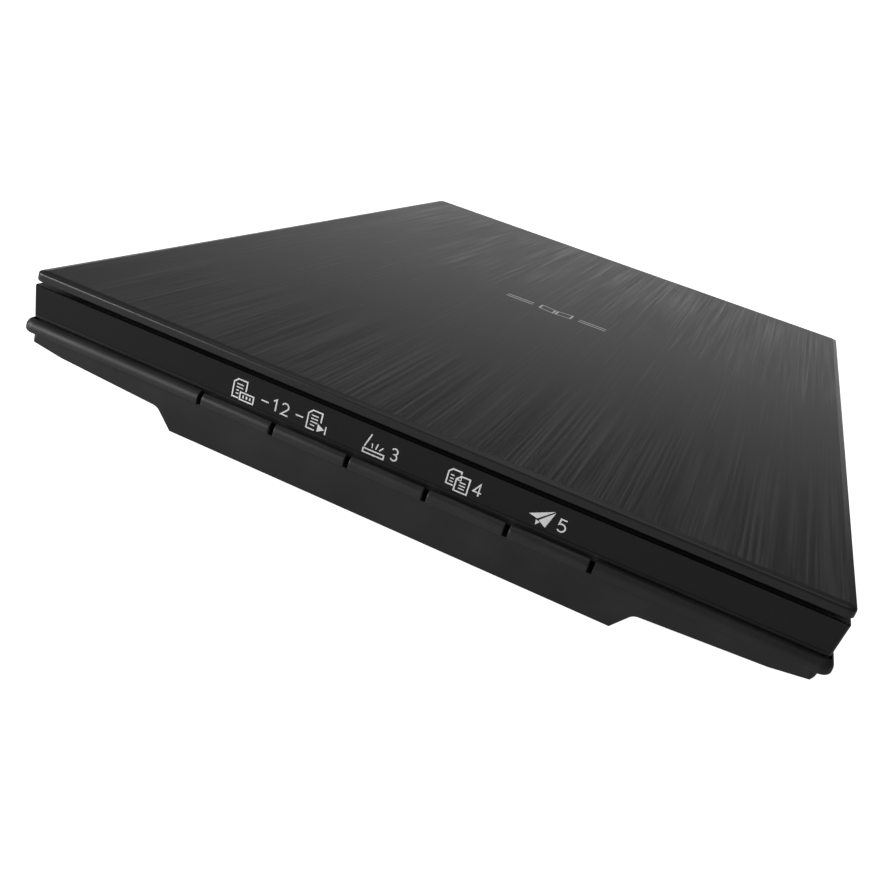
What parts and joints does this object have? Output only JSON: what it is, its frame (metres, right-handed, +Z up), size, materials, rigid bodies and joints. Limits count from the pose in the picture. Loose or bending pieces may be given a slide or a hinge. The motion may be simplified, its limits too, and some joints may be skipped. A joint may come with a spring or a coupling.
{
  "type": "book scanner",
  "caption": "Thin flatbed book scanner with a hinged lid that rises for thick books, a front button strip, a glass platen and a geared sensor carriage.",
  "frame": {"origin": "centre of the footprint, on the surface that the feet stand on", "axes": "+Z up, +Y from the button strip towards the lid hinges, +X to the right of a person facing the buttons"},
  "size_m": [0.248, 0.367, 0.042],
  "materials": {
    "textured_case": "fine grained black moulding",
    "satin_case": "satin black moulding",
    "button_satin": "satin black moulding, rounded front",
    "gloss_panel": "polished black with printed symbols",
    "lid_finish": "dark grey, brushed pattern along the length, smooth border",
    "inner_plastic": "plain black moulding",
    "badge_silver": "bright metal badge",
    "foam": "soft dark foam",
    "white_sheet": "smooth white film",
    "rubber": "matt black rubber",
    "glass": "clear float glass",
    "tape": "black double-sided tape",
    "screw_steel": "zinc plated",
    "pin_steel": "ground steel",
    "spring_steel": "drawn wire",
    "motor_steel": "nickel plated can",
    "port_steel": "plated shell",
    "brass": "cut brass",
    "switch_black": "black switch housing",
    "plunger_white": "off-white plunger",
    "board_green": "green solder mask",
    "chip_black": "moulded chip packages",
    "connector_cream": "cream nylon",
    "ribbon": "white flat cable with a blue end",
    "acetal_grey": "grey acetal",
    "acetal_black": "black acetal",
    "acetal_white": "natural white acetal",
    "lens_dark": "dark rod lens array",
    "light_guide": "clear acrylic bar"
  },
  "bodies": {
    "root": {"lower_case": "textured_case", "rubber_feet": "rubber", "control_panel": "gloss_panel", "upper_case": "satin_case", "platen_glass": "glass", "glass_tape": "tape", "calibration_strip": "white_sheet", "case_screws": "screw_steel", "switch_bodies": "switch_black", "button_board": "board_green", "hinge_guides": "acetal_grey", "drive_rack": "acetal_white", "guide_rod": "pin_steel", "rod_clips": "acetal_black", "main_board": "board_green", "board_chips": "chip_black", "ribbon_connectors": "connector_cream", "usb_port": "port_steel", "scan_ribbon": "ribbon", "button_ribbon": "ribbon", "kickstand_pin": "pin_steel"},
    "riser_left": {"hinge_riser_left": "acetal_black", "hinge_pin_left": "pin_steel"},
    "riser_right": {"hinge_riser_right": "acetal_black", "hinge_pin_right": "pin_steel"},
    "lid": {"lid_cover": "lid_finish", "lid_inner_panel": "inner_plastic", "pad_foam": "foam", "pad_sheet": "white_sheet", "lid_bumpers": "rubber", "lid_badge": "badge_silver", "hinge_screws": "screw_steel", "hinge_leaf_left": "acetal_black", "hinge_leaf_right": "acetal_black"},
    "carriage": {"carriage_frame": "acetal_black", "rod_bushes": "acetal_white", "gear_axle": "pin_steel", "motor_case": "motor_steel", "motor_screws": "screw_steel", "sensor_springs": "spring_steel"},
    "gear": {"drive_gear": "acetal_white"},
    "motor_rotor": {"motor_pinion": "brass"},
    "sensor": {"sensor_housing": "acetal_black", "sensor_window": "glass", "lens_array": "lens_dark", "light_guide": "light_guide", "sensor_board": "board_green", "glide_pads": "acetal_white"},
    "kickstand": {"kickstand": "satin_case"},
    "key_finish": {"button_finish": "button_satin", "plunger_finish": "plunger_white"},
    "key_next": {"button_next": "button_satin", "plunger_next": "plunger_white"},
    "key_scan": {"button_scan": "button_satin", "plunger_scan": "plunger_white"},
    "key_copy": {"button_copy": "button_satin", "plunger_copy": "plunger_white"},
    "key_send": {"button_send": "button_satin", "plunger_send": "plunger_white"}
  },
  "joints": [
    {"name": "riser_left_lift", "type": "slide", "parent": "root", "child": "riser_left", "axis": [0, 0, 1], "range_m": [0, 0.015]},
    {"name": "riser_right_lift", "type": "slide", "parent": "root", "child": "riser_right", "axis": [0, 0, 1], "range_m": [0, 0.015]},
    {"name": "lid_hinge", "type": "hinge", "parent": "riser_left", "child": "lid", "pos_m": [0, 0.176, 0.0364], "axis": [-1, 0, 0], "range_deg": [0, 90]},
    {"name": "carriage_travel", "type": "slide", "parent": "root", "child": "carriage", "axis": [0, 1, 0], "range_m": [0, 0.298], "deforming": ["scan_ribbon"]},
    {"name": "drive_gear_spin", "type": "hinge", "parent": "carriage", "child": "gear", "pos_m": [0.027, -0.1475, 0.009], "axis": [0, 0, 1], "continuous": true},
    {"name": "motor_spin", "type": "hinge", "parent": "carriage", "child": "motor_rotor", "pos_m": [0.042, -0.1475, 0.01], "axis": [0, 0, 1], "continuous": true},
    {"name": "sensor_float", "type": "slide", "parent": "carriage", "child": "sensor", "axis": [0, 0, -1], "range_m": [0, 0.0004], "stiffness_N_per_m": 500, "springref_m": -0.002, "deforming": ["sensor_springs"]},
    {"name": "kickstand_fold", "type": "hinge", "parent": "root", "child": "kickstand", "pos_m": [0.1185, 0, 0.0135], "axis": [0, -1, 0], "range_deg": [0, 90]},
    {"name": "button_finish_press", "type": "slide", "parent": "root", "child": "key_finish", "axis": [0, 1, 0], "range_m": [0, 0.0008], "stiffness_N_per_m": 800, "springref_m": -0.0003},
    {"name": "button_next_press", "type": "slide", "parent": "root", "child": "key_next", "axis": [0, 1, 0], "range_m": [0, 0.0008], "stiffness_N_per_m": 800, "springref_m": -0.0003},
    {"name": "button_scan_press", "type": "slide", "parent": "root", "child": "key_scan", "axis": [0, 1, 0], "range_m": [0, 0.0008], "stiffness_N_per_m": 800, "springref_m": -0.0003},
    {"name": "button_copy_press", "type": "slide", "parent": "root", "child": "key_copy", "axis": [0, 1, 0], "range_m": [0, 0.0008], "stiffness_N_per_m": 800, "springref_m": -0.0003},
    {"name": "button_send_press", "type": "slide", "parent": "root", "child": "key_send", "axis": [0, 1, 0], "range_m": [0, 0.0008], "stiffness_N_per_m": 800, "springref_m": -0.0003}
  ],
  "couplings": [
    {"joint": "riser_right_lift", "follows": "riser_left_lift", "ratio": 1},
    {"joint": "drive_gear_spin", "follows": "carriage_travel", "rad_per_m": 178.57},
    {"joint": "motor_spin", "follows": "carriage_travel", "rad_per_m": -714.29}
  ]
}
